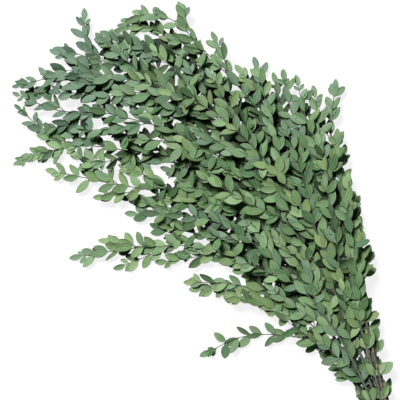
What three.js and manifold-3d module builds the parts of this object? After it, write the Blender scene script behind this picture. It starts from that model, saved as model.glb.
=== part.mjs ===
// A tied bunch of preserved, small-leaved eucalyptus that lies on a surface: fourteen leafy stems and
// the elastic band round them. Millimetres, +Z up. The origin is on the surface under the band. The cut
// ends point to -Y, and the stems fan out to +Y and arch over to -X.
import * as THREE from "three";
import { mergeVertices } from "three/addons/utils/BufferGeometryUtils.js";
import Module from "manifold-3d";

const wasm = await Module();
wasm.setup();

// The sheaf under the band: stems in staggered rows, leaning a little towards +X at the cut ends.
const SHEAF_LEAN = 0.2;
const STEM_PITCH = 5.4;
const ROW_RISE = (STEM_PITCH * Math.sqrt(3)) / 2;
const BOTTOM_RADIUS = 2.3;
const SPLAY_AT_CUT_ENDS = 0.1;
const BAND = { gap: 0.4, thickness: 1.3, width: 7, straight: 8, cornerPoints: 12 };
const FIRST_ROW = BOTTOM_RADIUS + BAND.gap + BAND.thickness;

// Wood: a main stem thins from its own radius to the tip, and a twig from root to tip.
const STEM = {
  tipRadius: 0.95,
  sides: 5,
  lead: 80,
  straightStep: 90,
  fineStep: 34,
  fineBeyondBand: 110,
  step: 60,
};
const TWIG = {
  spacing: 40,
  spacingSpread: [0.8, 1.2],
  reachAtFirst: 1.2,
  reachLost: 0.75,
  reachSpread: [0.8, 1.25],
  angle: [0.3, 0.6],
  lift: 0.5,
  liftStep: 0.22,
  attempts: 10,
  bareTip: 48,
  walk: 9,
  gather: 0.048,
  droop: 0.014,
  clearOfOtherWood: 3.7,
  feelStep: 2.5,
  feltAtRoot: 4,
  lowest: 2.4,
  rootShare: 0.62,
  mostRadius: 1.2,
  tipRadius: 0.75,
  sides: 4,
  step: 42,
  rootBack: 8,
  rootOut: 9,
  shortest: 70,
};
const CURVE_STEP = 8;

// Leaves: opposite pairs, each pair turned a quarter from the last, smaller and closer near a tip. The
// shoots that reach furthest to -X end in young growth, and the others in leaves of nearly full size.
const PAIRS = {
  missing: 0.06,
  turnSpread: 0.6,
  flattened: 0.5,
  open: [0.3, 1.05],
  habit: [0.65, 1.2],
  openAtTip: 0.8,
  openWithin: 40,
  step: [15, 20],
  sparseBelow: 215,
  sparse: 2.1,
  firstOnTwig: 10,
  bareFor: 84,
  lastFromTip: 4,
};
const YOUNG_BEYOND = -500;
const TIPS = {
  young: { smallest: 0.55, growWithin: 60, closest: 0.5, length: 14, width: 6 },
  grown: { smallest: 0.8, growWithin: 30, closest: 0.75, length: 20, width: 8.6 },
};
const TIP_LEAF = { inset: 0.5, wander: 0.3 };
const LEAF = {
  length: [22, 29],
  width: [0.41, 0.52],
  faceInwards: 0.35,
  roll: 0.5,
  wander: 0.6,
  wanderUp: 0.3,
  lowest: 0.45,
  broad: [0.32, 0.73],
};
const BLADE = {
  thickness: 0.7,
  sunk: 0.5,
  shoulders: [
    { along: 0.32, half: 0.48, rise: 0.04 },
    { along: 0.73, half: 0.43, rise: 0.04 },
  ],
};
// The solids carry one leaf of a pair at this spacing, on alternate sides, and every tip leaf.
const SHOWN_EVERY = 190;
const LEAF_CLEARANCE = 0.3;
const LEAF_SEED = 100;
const STRAIGHT_ENOUGH = 1e-6;

// Each stem: its row and place in the sheaf, its length below the band, its radius, how far above the
// band its first twig is, how long its twigs are, its seed, its route from the band to its tip, and the
// twigs that are long enough to be routed one by one. One stem stays bare for longer above the band.
const STEMS = [
  {
    name: "leafy_stem_a", row: 0, place: -1, butt: 62, radius: 2.3,
    leafyFrom: 85, twigReach: 0, seed: 3511,
    route: [
      [-36, 72, 13], [-72, 125, 15], [-118, 160, 13], [-175, 168, 10], [-218, 162, 7],
      [-252, 145, 4],
    ],
    longTwigs: [],
  },
  {
    name: "leafy_stem_b", row: 2, place: -1, butt: 55, radius: 2.2,
    leafyFrom: 120, twigReach: 80, seed: 218,
    route: [[-43, 85, 33], [-92, 160, 36], [-150, 212, 30], [-215, 238, 20], [-273, 241, 9]],
    longTwigs: [],
  },
  {
    name: "leafy_stem_c", row: 1, place: -1.5, butt: 78, radius: 2.2,
    leafyFrom: 130, twigReach: 90, seed: 3814,
    route: [
      [-43, 85, 21], [-92, 180, 24], [-170, 255, 22], [-255, 290, 16], [-345, 291, 12],
      [-434, 278, 7],
    ],
    longTwigs: [[[-205, 276, 20], [-255, 303, 18], [-310, 318, 14]]],
  },
  {
    name: "leafy_stem_d", row: 1, place: -0.5, butt: 58, radius: 2.6,
    leafyFrom: 150, twigReach: 110, seed: 5615,
    route: [
      [-34, 95, 24], [-88, 200, 28], [-165, 300, 30], [-250, 368, 26], [-355, 374, 20],
      [-468, 396, 9],
    ],
    longTwigs: [[[-215, 346, 28], [-270, 356, 24], [-325, 354, 16]]],
  },
  {
    name: "leafy_stem_e", row: 0, place: 0, butt: 74, radius: 2.3,
    leafyFrom: 170, twigReach: 120, seed: 1912,
    route: [
      [-27, 100, 14], [-78, 210, 15], [-160, 325, 16], [-265, 405, 16], [-380, 428, 14], [-470, 442, 11],
      [-520, 483, 8],
    ],
    longTwigs: [[[-430, 435, 12], [-470, 428, 10], [-500, 420, 7], [-520, 412, 5]]],
  },
  {
    name: "leafy_stem_f", row: 2, place: 0, butt: 72, radius: 2.3,
    leafyFrom: 170, twigReach: 120, seed: 4119,
    route: [
      [-31, 100, 37], [-80, 225, 44], [-165, 345, 46], [-270, 435, 42], [-385, 475, 34], [-465, 482, 22],
      [-521, 503, 12],
    ],
    longTwigs: [],
  },
  {
    name: "leafy_stem_g", row: 3, place: 0.5, butt: 76, radius: 2.3,
    leafyFrom: 190, twigReach: 120, seed: 2322,
    route: [
      [-24, 105, 48], [-68, 235, 58], [-145, 370, 62], [-245, 475, 58], [-355, 522, 46], [-450, 532, 32],
      [-520, 518, 16],
    ],
    longTwigs: [[[-270, 490, 56], [-330, 503, 50], [-400, 502, 38], [-462, 508, 24]]],
  },
  {
    name: "leafy_stem_h", row: 1, place: 0.5, butt: 70, radius: 2.3,
    leafyFrom: 180, twigReach: 120, seed: 1016,
    route: [
      [-24, 100, 26], [-70, 230, 30], [-145, 365, 32], [-240, 462, 30], [-345, 530, 24], [-425, 557, 18],
      [-458, 567, 10],
    ],
    longTwigs: [
      [[-400, 550, 20], [-421, 568, 20], [-430, 590, 16], [-431, 608, 12]],
      [[-320, 516, 26], [-362, 552, 26], [-400, 574, 20]],
    ],
  },
  {
    name: "leafy_stem_i", row: 0, place: 1, butt: 66, radius: 2.3,
    leafyFrom: 180, twigReach: 115, seed: 4413,
    route: [
      [-15, 100, 13], [-58, 220, 15], [-120, 350, 16], [-200, 465, 16], [-270, 540, 13], [-335, 568, 10],
      [-392, 588, 7],
    ],
    longTwigs: [[[-255, 525, 14], [-295, 570, 12], [-330, 596, 9], [-362, 600, 7]]],
  },
  {
    name: "leafy_stem_j", row: 2, place: 1, butt: 80, radius: 2.3,
    leafyFrom: 240, twigReach: 72, seed: 8320,
    route: [
      [-21, 104, 38], [-54, 240, 44], [-118, 380, 46], [-195, 490, 42], [-255, 557, 34], [-302, 605, 24],
      [-340, 618, 16], [-376, 600, 8],
    ],
    longTwigs: [],
  },
  {
    name: "leafy_stem_k", row: 1, place: 1.5, butt: 64, radius: 2.2,
    leafyFrom: 190, twigReach: 100, seed: 3617,
    route: [
      [-16, 100, 24], [-49, 220, 28], [-92, 340, 30], [-140, 440, 26], [-172, 500, 20],
      [-187, 540, 14],
    ],
    longTwigs: [],
  },
  {
    name: "leafy_stem_l", row: 3, place: 1.5, butt: 68, radius: 2.2,
    leafyFrom: 200, twigReach: 80, seed: 623,
    route: [[-17, 100, 47], [-47, 220, 56], [-74, 330, 54], [-98, 420, 46], [-108, 498, 32]],
    longTwigs: [
      [[-92, 390, 48], [-120, 430, 44], [-140, 475, 38], [-150, 522, 28]],
      [[-95, 408, 47], [-113, 448, 46], [-125, 484, 40], [-131, 514, 30]],
    ],
  },
  {
    name: "leafy_stem_m", row: 2, place: 2.2, butt: 60, radius: 3.2, bareFor: 148,
    leafyFrom: 215, twigReach: 40, seed: 4221,
    route: [[-9, 82, 33], [-31, 165, 37], [-54, 280, 38], [-70, 380, 32], [-86, 450, 24], [-80, 508, 16]],
    longTwigs: [],
  },
  {
    name: "leafy_stem_n", row: 3, place: -0.5, butt: 68, radius: 2.1,
    leafyFrom: 120, twigReach: 80, seed: 4024,
    route: [
      [-38, 95, 46], [-88, 185, 50], [-160, 268, 46], [-235, 322, 36], [-300, 336, 24],
      [-356, 338, 10],
    ],
    longTwigs: [],
  },
];

const UP = new THREE.Vector3(0, 0, 1);
const CUT_WARDS = new THREE.Vector3(SHEAF_LEAN, -1, 0).normalize();
const ACROSS = new THREE.Vector3(1, SHEAF_LEAN, 0).normalize();

// A small seeded generator, so that every build places the same twigs and leaves.
class Draws {
  constructor(seed) {
    this.state = (seed * 7919 + 12345) >>> 0;
    for (let i = 0; i < 3; i++) this.unit();
  }
  unit() {
    this.state = (Math.imul(this.state, 1664525) + 1013904223) >>> 0;
    return this.state / 4294967296;
  }
  between([low, high]) {
    return low + (high - low) * this.unit();
  }
}

// The sum of vectors, each times its own factor.
function mix(...terms) {
  const sum = new THREE.Vector3();
  for (const [vector, factor] of terms) sum.addScaledVector(vector, factor);
  return sum;
}

// A line of points that can be walked by its length.
class Line {
  constructor(points) {
    this.points = points;
    this.lengths = [0];
    for (let i = 1; i < points.length; i++) {
      this.lengths.push(this.lengths[i - 1] + points[i].distanceTo(points[i - 1]));
    }
    this.length = this.lengths.at(-1);
  }
  place(at) {
    let i = this.points.length - 2;
    while (i > 0 && this.lengths[i] > at) i--;
    const [a, b] = [this.points[i], this.points[i + 1]];
    const share = (at - this.lengths[i]) / (this.lengths[i + 1] - this.lengths[i]);
    return { point: a.clone().lerp(b, share), along: mix([b, 1], [a, -1]).normalize() };
  }
}

// A smooth line through a route's points.
function smoothLine(points) {
  const curve = new THREE.CatmullRomCurve3(points, false, "catmullrom", 0.5);
  const spans = points.length - 1;
  const line = [];
  for (let i = 0; i < spans; i++) {
    const steps = Math.max(2, Math.floor(points[i].distanceTo(points[i + 1]) / CURVE_STEP + 0.5));
    for (let k = 0; k < steps; k++) line.push(curve.getPoint((i + k / steps) / spans));
  }
  line.push(points.at(-1).clone());
  return new Line(line);
}

// The level direction to the left of a shoot, and the one that points up from it.
function sidesOf(along) {
  const left = new THREE.Vector3().crossVectors(UP, along).normalize();
  return { left, over: new THREE.Vector3().crossVectors(along, left) };
}

// A twig that leaves its stem at an angle, bends back along it and sinks a little.
function twigLine(start, along, sideways, angle, length) {
  let heading = mix([along, Math.cos(angle)], [sideways, Math.sin(angle)]).normalize();
  const points = [start.clone()];
  const steps = Math.max(3, Math.floor(length / TWIG.walk + 0.5));
  for (let i = 0; i < steps; i++) {
    heading = mix([heading, 1], [along, TWIG.gather], [UP, -TWIG.droop]).normalize();
    const next = mix([points.at(-1), 1], [heading, length / steps]);
    next.z = Math.max(next.z, TWIG.lowest);
    points.push(next);
  }
  return new Line(points);
}

// Evenly spaced places on a line, both ends included.
function evenPlaces(from, to, step) {
  const count = Math.max(1, Math.round((to - from) / step));
  return Array.from({ length: count + 1 }, (_, i) => from + ((to - from) * i) / count);
}

// Close points along a line, with the box round them that no other wood may enter.
function feltAlong(line) {
  const points = evenPlaces(0, line.length, TWIG.feelStep).map((at) => line.place(at).point);
  return { points, box: new THREE.Box3().setFromPoints(points).expandByScalar(TWIG.clearOfOtherWood) };
}

// True if a new twig, past its root, comes too close to the wood of another stem.
function meetsWood(points, wood) {
  const nearest = TWIG.clearOfOtherWood ** 2;
  return wood.some(({ box, points: theirs }) =>
    points.some((p) => box.containsPoint(p) && theirs.some((q) => q.distanceToSquared(p) < nearest)),
  );
}

// The main line of each stem, from its cut end through the band to its tip, with its long twigs.
function mainLines() {
  return STEMS.map((stem) => {
    const sideways = stem.place * STEM_PITCH;
    const tie = mix([ACROSS, sideways], [UP, FIRST_ROW + stem.row * ROW_RISE]);
    const cutEnd = mix([tie, 1], [CUT_WARDS, stem.butt], [ACROSS, sideways * SPLAY_AT_CUT_ENDS]);
    const clear = mix([tie, 1], [CUT_WARDS, -BAND.straight]);
    const before = mix([clear, 1], [CUT_WARDS, STEM.lead]);
    const curve = smoothLine([before, clear, ...stem.route.map((p) => new THREE.Vector3(...p))]);
    const line = new Line([cutEnd, ...curve.points.filter((_, i) => curve.lengths[i] > STEM.lead - 1)]);
    const twigs = stem.longTwigs.map((route) => {
      const [first, ...rest] = route.map((p) => new THREE.Vector3(...p));
      const distances = line.points.map((p) => p.distanceTo(first));
      const nearest = distances.indexOf(Math.min(...distances));
      return { at: line.lengths[nearest], line: smoothLine([line.points[nearest].clone(), ...rest]) };
    });
    return { ...stem, line, twigs, leafyAt: stem.butt + stem.leafyFrom };
  });
}

// Adds each stem's own twigs, left and right in turn, lifted or lowered where another stem is near.
function addTwigs(stems) {
  const wood = new Map(stems.map((s) => [s.name, [s, ...s.twigs].map((shoot) => feltAlong(shoot.line))]));
  for (const stem of stems) {
    const draws = new Draws(stem.seed);
    const others = stems.filter((s) => s !== stem).flatMap((s) => wood.get(s.name));
    let side = draws.unit() < 0.5 ? 1 : -1;
    let at = stem.leafyAt;
    while (stem.twigReach && at < stem.line.length - TWIG.bareTip) {
      const share = (at - stem.leafyAt) / (stem.line.length - stem.leafyAt);
      const { point, along } = stem.line.place(at);
      const { left, over } = sidesOf(along);
      const reach = stem.twigReach * (TWIG.reachAtFirst - TWIG.reachLost * share);
      const length = reach * draws.between(TWIG.reachSpread);
      const angle = draws.between(TWIG.angle);
      const lift = draws.between([-TWIG.lift, TWIG.lift]);
      for (let attempt = 0; attempt < TWIG.attempts; attempt++) {
        const tried = lift + ((attempt % 2) * 2 - 1) * TWIG.liftStep * attempt;
        const sideways = mix([left, side * Math.cos(tried)], [over, Math.sin(tried)]).normalize();
        const line = twigLine(point, along, sideways, angle, length);
        const felt = feltAlong(line);
        if (meetsWood(felt.points.slice(TWIG.feltAtRoot), others)) continue;
        stem.twigs.push({ at, line });
        wood.get(stem.name).push(felt);
        break;
      }
      side = -side;
      at += TWIG.spacing * draws.between(TWIG.spacingSpread);
    }
  }
}

// A leaf that is turned just enough for its tip and its edges to clear the surface.
function settledLeaf(base, heading, facing, length, width) {
  const along = heading.clone().normalize();
  const lowestSlope = Math.max(-1, Math.min(1, (LEAF.lowest - base.z) / length));
  if (along.z < lowestSlope) {
    const level = Math.sqrt(1 - lowestSlope ** 2) / Math.hypot(along.x, along.y);
    along.set(along.x * level, along.y * level, lowestSlope);
  }
  let normal = mix([facing, 1], [along, -facing.dot(along)]).normalize();
  let side = new THREE.Vector3().crossVectors(normal, along);
  const lowerEnd = LEAF.broad[along.z < 0 ? 1 : 0];
  const room = Math.max(0, base.z + along.z * length * lowerEnd - LEAF.lowest) / (width / 2);
  if (Math.abs(side.z) > room) {
    const level = new THREE.Vector3().crossVectors(UP, along).normalize();
    level.multiplyScalar(Math.sign(level.dot(side)));
    side = mix([level, 1], [side, room]);
    side = mix([side, 1], [along, -side.dot(along)]).normalize();
    normal = new THREE.Vector3().crossVectors(along, side);
  }
  return { base, along, normal, side, length, width };
}

// The point on a shoot's faceted wood that stands for a place on its smooth line.
function onWood(shoot, at) {
  let i = shoot.rings.length - 2;
  while (i > 0 && shoot.rings[i] > at) i--;
  const [from, to] = [shoot.rings[i], shoot.rings[i + 1]];
  return shoot.line.place(from).point.lerp(shoot.line.place(to).point, (at - from) / (to - from));
}

// Every leaf of one shoot: a list of pairs, and the single leaf at its tip.
function leavesOf(shoot, draws) {
  const pairs = [];
  const end = shoot.line.points.at(-1).x < YOUNG_BEYOND ? TIPS.young : TIPS.grown;
  let turn = draws.unit() * Math.PI;
  const habit = draws.between(PAIRS.habit);
  const roll = draws.between([-LEAF.roll, LEAF.roll]);
  let at = shoot.firstPair;
  while (at < shoot.line.length - PAIRS.lastFromTip) {
    const left = shoot.line.length - at;
    const growth = Math.min(1, left / end.growWithin);
    const opening = PAIRS.openAtTip + (1 - PAIRS.openAtTip) * Math.min(1, left / PAIRS.openWithin);
    const size = end.smallest + (1 - end.smallest) * growth;
    const { along } = shoot.line.place(at);
    const point = onWood(shoot, at);
    const sides = sidesOf(along);
    const pair = { at, leaves: [] };
    for (const half of [1, -1]) {
      const missing = draws.unit() < PAIRS.missing;
      const round = turn + draws.between([-PAIRS.turnSpread, PAIRS.turnSpread]);
      const open = draws.between(PAIRS.open) * opening * habit;
      const length = draws.between(LEAF.length) * size;
      const width = length * draws.between(LEAF.width);
      const wander = [draws.between([-1, 1]), draws.between([-1, 1]), draws.between([-1, 1])];
      if (missing) continue;
      const rise = Math.sin(round) * half * PAIRS.flattened;
      const out = mix([sides.left, Math.cos(round) * half], [sides.over, rise]);
      const heading = mix([along, Math.cos(open)], [out, Math.sin(open)]).normalize();
      const inner = mix([along, Math.sin(open)], [out, -Math.cos(open)]).normalize();
      const stray = new THREE.Vector3(wander[0], wander[1], wander[2] * LEAF.wanderUp);
      const level = mix([UP, 1], [inner, LEAF.faceInwards], [sides.left, roll]);
      const facing = mix([level, 1], [stray, LEAF.wander]).normalize();
      pair.leaves.push(settledLeaf(point, heading, facing, length, width));
    }
    pairs.push(pair);
    turn += Math.PI / 2;
    const sparse = shoot.sparseBelow > at ? PAIRS.sparse : 1;
    at += draws.between(PAIRS.step) * (end.closest + (1 - end.closest) * growth) * sparse;
  }
  const { point, along } = shoot.line.place(shoot.line.length - TIP_LEAF.inset);
  const stray = new THREE.Vector3(draws.between([-1, 1]), draws.between([-1, 1]), 0);
  const facing = mix([UP, 1], [stray, TIP_LEAF.wander]).normalize();
  return { pairs, tip: settledLeaf(point, along, facing, end.length, end.width) };
}

// A stem's shoots: the main one, bare near the band, and its twigs. The rings are
// the places where the wood of a shoot bends, closer together near the band.
function shootsOf(stem) {
  const straightEnd = stem.butt + BAND.straight;
  const fineEnd = straightEnd + STEM.fineBeyondBand;
  const main = {
    shown: true,
    line: stem.line,
    rings: [
      ...evenPlaces(0, straightEnd, STEM.straightStep),
      ...evenPlaces(straightEnd, fineEnd, STEM.fineStep).slice(1),
      ...evenPlaces(fineEnd, stem.line.length, STEM.step).slice(1),
    ],
    radii: [stem.radius, STEM.tipRadius],
    sides: STEM.sides,
    firstPair: stem.butt + (stem.bareFor ?? PAIRS.bareFor),
    sparseBelow: stem.butt + PAIRS.sparseBelow,
  };
  const rootRadius = (at) => {
    const stemRadius = THREE.MathUtils.lerp(...main.radii, at / stem.line.length);
    return Math.min(TWIG.mostRadius, TWIG.rootShare * stemRadius);
  };
  const twigs = stem.twigs.map(({ at, line }) => ({
    shown: line.length > TWIG.shortest,
    line,
    root: onWood(main, at - TWIG.rootBack),
    rings: evenPlaces(TWIG.rootOut, line.length, TWIG.step),
    radii: [rootRadius(at), TWIG.tipRadius],
    sides: TWIG.sides,
    firstPair: PAIRS.firstOnTwig,
    sparseBelow: 0,
  }));
  return [main, ...twigs];
}

// A closed mesh as a solid.
function solidOf(geometry) {
  const bare = geometry.clone();
  bare.deleteAttribute("normal");
  bare.deleteAttribute("uv");
  const merged = mergeVertices(bare);
  return new wasm.Manifold(
    new wasm.Mesh({
      numProp: 3,
      vertProperties: merged.attributes.position.array,
      triVerts: new Uint32Array(merged.index.array),
    }),
  );
}

// Points and triangles as a geometry.
function geometryOf(points, faces) {
  const geometry = new THREE.BufferGeometry().setFromPoints(points);
  geometry.setIndex(faces.flat());
  return geometry;
}

// A shoot's wood: round with a few sides, thinning to its tip. A stem starts at its flat cut and ends in
// another. A twig starts at a point inside its stem, and ends in the leaf at its tip.
function woodOf({ line, root, rings, radii, sides }, tip) {
  const points = [];
  const faces = [];
  for (const at of rings) {
    const { point, along } = line.place(at);
    const { left, over } = sidesOf(along);
    const radius = THREE.MathUtils.lerp(...radii, at / line.length);
    for (let k = 0; k < sides; k++) {
      const angle = (2 * Math.PI * (k + 0.5)) / sides;
      points.push(mix([point, 1], [left, radius * Math.cos(angle)], [over, radius * Math.sin(angle)]));
    }
  }
  if (tip) {
    const half = BLADE.thickness / 2;
    for (const shoulder of BLADE.shoulders) {
      const wide = tip.width * shoulder.half;
      const middle = mix([tip.base, 1], [tip.along, tip.length * shoulder.along]);
      for (const [hand, face] of [[1, 1], [-1, 1], [-1, -1], [1, -1]]) {
        points.push(mix([middle, 1], [tip.side, hand * wide], [tip.normal, face * half]));
      }
    }
  }
  const spans = points.length / sides - 1;
  for (let ring = 0; ring < spans; ring++) {
    for (let k = 0; k < sides; k++) {
      const [a, b] = [ring * sides + k, ring * sides + ((k + 1) % sides)];
      faces.push([a, b, b + sides], [a, b + sides, a + sides]);
    }
  }
  if (root) {
    for (let k = 0; k < sides; k++) faces.push([points.length, (k + 1) % sides, k]);
    points.push(root);
  } else {
    for (let k = 1; k < sides - 1; k++) faces.push([0, k + 1, k]);
  }
  const last = spans * sides;
  if (tip) {
    const [top, bottom] = [points.length, points.length + 1];
    for (const face of [1, -1]) {
      points.push(mix([tip.base, 1], [tip.along, tip.length], [tip.normal, (face * BLADE.thickness) / 2]));
    }
    faces.push([last, last + 1, top], [last + 2, last + 3, bottom]);
    faces.push([last + 1, last + 2, bottom], [last + 1, bottom, top]);
    faces.push([last + 3, last, top], [last + 3, top, bottom]);
  } else {
    for (let k = 1; k < sides - 1; k++) faces.push([last, last + k, last + k + 1]);
  }
  return geometryOf(points, faces);
}

// One arched leaf blade, from inside the wood out to its pointed tip. Grown, it is its own clearance.
function bladeOf(leaf, grown = 0) {
  const half = BLADE.thickness / 2 + grown;
  const at = (along, sideways, rise) => {
    return mix([leaf.base, 1], [leaf.along, along], [leaf.side, sideways], [leaf.normal, rise]);
  };
  const edge = (shoulder, hand) => {
    const sideways = hand * (leaf.width * shoulder.half + grown);
    return at(leaf.length * shoulder.along, sideways, leaf.length * shoulder.rise);
  };
  const [lower, upper] = BLADE.shoulders;
  const outline = [
    at(-BLADE.sunk, 0, 0),
    edge(lower, -1),
    edge(upper, -1),
    at(leaf.length + grown, 0, 0),
    edge(upper, 1),
    edge(lower, 1),
  ];
  const count = outline.length;
  const points = [half, -half].flatMap((rise) => outline.map((p) => mix([p, 1], [leaf.normal, rise])));
  const top = [[0, 1, 5], [5, 1, 2], [5, 2, 4], [4, 2, 3]];
  const faces = [...top, ...top.map(([a, b, c]) => [a + count, c + count, b + count])];
  for (let a = 0; a < count; a++) {
    const b = (a + 1) % count;
    faces.push([a, a + count, b + count], [a, b + count, b]);
  }
  return geometryOf(points, faces);
}

// A geometry's solid, with the box round it.
function placed(geometry) {
  geometry.computeBoundingBox();
  return { solid: solidOf(geometry), box: geometry.boundingBox };
}

// True if a piece shares any space with the others.
function meetsSolid(piece, others) {
  const near = others.filter((other) => other.box.intersectsBox(piece.box));
  return near.some((other) => !piece.solid.intersect(other.solid).isEmpty());
}

// The leaves that the solid of a shoot carries: the one at its tip, and one of a pair in every so many.
function shownLeaves(shoot, draws, clear) {
  const { pairs, tip } = leavesOf(shoot, draws);
  const along = [];
  let next = shoot.firstPair;
  for (const { at, leaves } of pairs) {
    if (at < next) continue;
    const inTurn = along.length % 2 ? leaves : leaves.toReversed();
    const leaf = inTurn.find(clear);
    if (!leaf) continue;
    along.push(leaf);
    next = at + SHOWN_EVERY;
  }
  return { along, tip: clear(tip) ? tip : null };
}

// One node for each leafy stem: its wood and its leaves in one body, without loose scraps. Each leaf
// stays clear of all but its own shoot.
function leafyStems() {
  const stems = mainLines();
  addTwigs(stems);
  const shoots = stems.flatMap((stem) => shootsOf(stem).map((shoot) => ({ ...shoot, stem })));
  const pieces = shoots.filter((shoot) => shoot.shown).map((shoot) => ({ shoot, ...placed(woodOf(shoot)) }));
  for (const stem of stems) {
    const draws = new Draws(stem.seed + LEAF_SEED);
    for (const shoot of shoots.filter((s) => s.stem === stem)) {
      const others = pieces.filter((piece) => piece.shoot !== shoot);
      const clear = (leaf) => !meetsSolid(placed(bladeOf(leaf, LEAF_CLEARANCE)), others);
      const { along, tip } = shownLeaves(shoot, draws, clear);
      if (!shoot.shown) continue; // too short for the solids, but its leaves take their draws
      const blades = along.map((leaf) => bladeOf(leaf));
      if (tip) {
        const wood = pieces.find((piece) => piece.shoot === shoot);
        if (shoot.sides === TWIG.sides) Object.assign(wood, placed(woodOf(shoot, tip)));
        else blades.push(bladeOf(tip));
      }
      pieces.push(...blades.map((blade) => ({ shoot, ...placed(blade) })));
    }
  }
  return stems.map((stem) => {
    const own = pieces.filter((piece) => piece.shoot.stem === stem);
    const bodies = wasm.Manifold.union(own.map((piece) => piece.solid)).decompose();
    return { name: stem.name, body: bodies.reduce((a, b) => (b.volume() > a.volume() ? b : a)) };
  });
}

// The outer hull of points in the plane, anticlockwise.
function hullOf(points) {
  const sorted = [...points].sort((a, b) => a.x - b.x || a.y - b.y);
  const half = (list) => {
    const chain = [];
    for (const p of list) {
      while (chain.length > 1) {
        const [a, b] = chain.slice(-2);
        if ((b.x - a.x) * (p.y - a.y) - (b.y - a.y) * (p.x - a.x) > STRAIGHT_ENOUGH) break;
        chain.pop();
      }
      chain.push(p);
    }
    return chain.slice(0, -1);
  };
  return [...half(sorted), ...half(sorted.toReversed())];
}

// The band: stretched round the sheaf, so it is flat where it lies under the bottom row.
function elasticBand() {
  const ring = (margin) =>
    hullOf(
      STEMS.flatMap((stem) =>
        Array.from({ length: BAND.cornerPoints }, (_, k) => {
          const angle = (2 * Math.PI * k) / BAND.cornerPoints;
          return new THREE.Vector2(
            stem.place * STEM_PITCH + (stem.radius + margin) * Math.cos(angle),
            FIRST_ROW + stem.row * ROW_RISE + (stem.radius + margin) * Math.sin(angle),
          );
        }),
      ),
    );
  const outline = new THREE.Shape(ring(BAND.gap + BAND.thickness));
  outline.holes.push(new THREE.Path(ring(BAND.gap)));
  const band = new THREE.ExtrudeGeometry(outline, { depth: BAND.width, bevelEnabled: false });
  band.translate(0, 0, -BAND.width / 2);
  return band.applyMatrix4(new THREE.Matrix4().makeBasis(ACROSS, UP, CUT_WARDS));
}

// A named sub-part.
function meshOf(name, geometry, material) {
  const mesh = new THREE.Mesh(geometry, material);
  mesh.name = name;
  return mesh;
}

// A fused body as a geometry.
function geometryOfBody(body) {
  const { numProp, vertProperties, triVerts } = body.getMesh();
  const geometry = new THREE.BufferGeometry();
  geometry.setAttribute("position", new THREE.BufferAttribute(vertProperties, numProp));
  geometry.setIndex(new THREE.BufferAttribute(triVerts, 1));
  return geometry;
}

const bunch = new THREE.Group();
const leafGreen = { color: 0x769f70, roughness: 0.62, metalness: 0 };
const bandTan = { color: 0xb79a6b, roughness: 0.5, metalness: 0 };
for (const { name, body } of leafyStems()) {
  bunch.add(meshOf(name, geometryOfBody(body), new THREE.MeshStandardMaterial(leafGreen)));
}
bunch.add(meshOf("elastic_band", elasticBand(), new THREE.MeshStandardMaterial(bandTan)));

export default bunch;
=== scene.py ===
# A tied bunch of preserved, small-leaved eucalyptus that lies on a pale surface, seen from straight above.
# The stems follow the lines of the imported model, and carry every leaf, of which its solids have some.
# Lines and leaves are laid out in millimetres, and become metres where they are made.
import math

import bmesh
import bpy
import numpy as np
from mathutils import Matrix, Vector


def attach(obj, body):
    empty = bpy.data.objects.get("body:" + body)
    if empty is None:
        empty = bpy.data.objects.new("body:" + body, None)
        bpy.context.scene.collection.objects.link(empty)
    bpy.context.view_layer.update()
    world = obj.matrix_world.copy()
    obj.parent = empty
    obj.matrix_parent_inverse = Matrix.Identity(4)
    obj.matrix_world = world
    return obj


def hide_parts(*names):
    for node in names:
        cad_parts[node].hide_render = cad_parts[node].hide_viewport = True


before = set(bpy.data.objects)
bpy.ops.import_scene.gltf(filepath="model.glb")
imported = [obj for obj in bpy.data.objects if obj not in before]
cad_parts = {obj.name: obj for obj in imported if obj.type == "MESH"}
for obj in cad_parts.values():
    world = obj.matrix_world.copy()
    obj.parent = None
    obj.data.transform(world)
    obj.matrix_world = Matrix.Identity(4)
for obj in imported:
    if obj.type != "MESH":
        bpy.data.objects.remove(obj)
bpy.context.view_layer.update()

MM = 0.001
UP = np.array([0.0, 0.0, 1.0])

# The photograph's frame, the height in the bunch where it is this wide, and the camera's height above that.
VIEW_CENTRE = (-268.8, 357.0)
VIEW_WIDTH = 560.0
FOCUS_HEIGHT = 22.0
CAMERA_HEIGHT = 2600.0

# Light: how bright it makes a surface, the sun's strength, softness, height and side, the weak light that
# comes from all round and is green among so many leaves, and how much the surface glows where it is seen,
# shows of shadows and gives back.
STUDIO = {
    "surface_size": 8.0,
    "brightness": 1.6,
    "sun": 5.0,
    "sun_size": 16.0,
    "sun_tilt": 27.0,
    "sun_side": -145.0,
    "sky": 0.13,
    "sky_colour": (0.55, 1.0, 0.55, 1),
    "surface_glow": 0.84,
    "surface_seen": 0.14,
    "surface_bounce": 0.1,
}

# The sheaf under the band.
SHEAF_LEAN = 0.2
STEM_RADIUS = 2.3
STEM_PITCH = 5.4
ROW_RISE = STEM_PITCH * math.sqrt(3) / 2
BAND = {"gap": 0.4, "thickness": 1.3, "straight": 8.0}
FIRST_ROW = STEM_RADIUS + BAND["gap"] + BAND["thickness"]
SPLAY_AT_CUT_ENDS = 0.1

# How far before the band a stem's curve starts, and how far apart the points of a curve are.
LEAD = 80.0
CURVE_STEP = 8.0

# Twigs: how far apart they grow, how long they are, how they leave their stem and bend, and how they keep
# clear of other wood.
TWIG = {
    "spacing": 40.0,
    "spacing_spread": (0.8, 1.2),
    "reach_at_first": 1.2,
    "reach_lost": 0.75,
    "reach_spread": (0.8, 1.25),
    "angle": (0.3, 0.6),
    "lift": 0.5,
    "lift_step": 0.22,
    "attempts": 10,
    "bare_tip": 48.0,
    "walk": 9.0,
    "gather": 0.048,
    "droop": 0.014,
    "clear_of_other_wood": 3.7,
    "feel_step": 2.5,
    "felt_at_root": 4,
    "lowest": 2.4,
}
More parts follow.
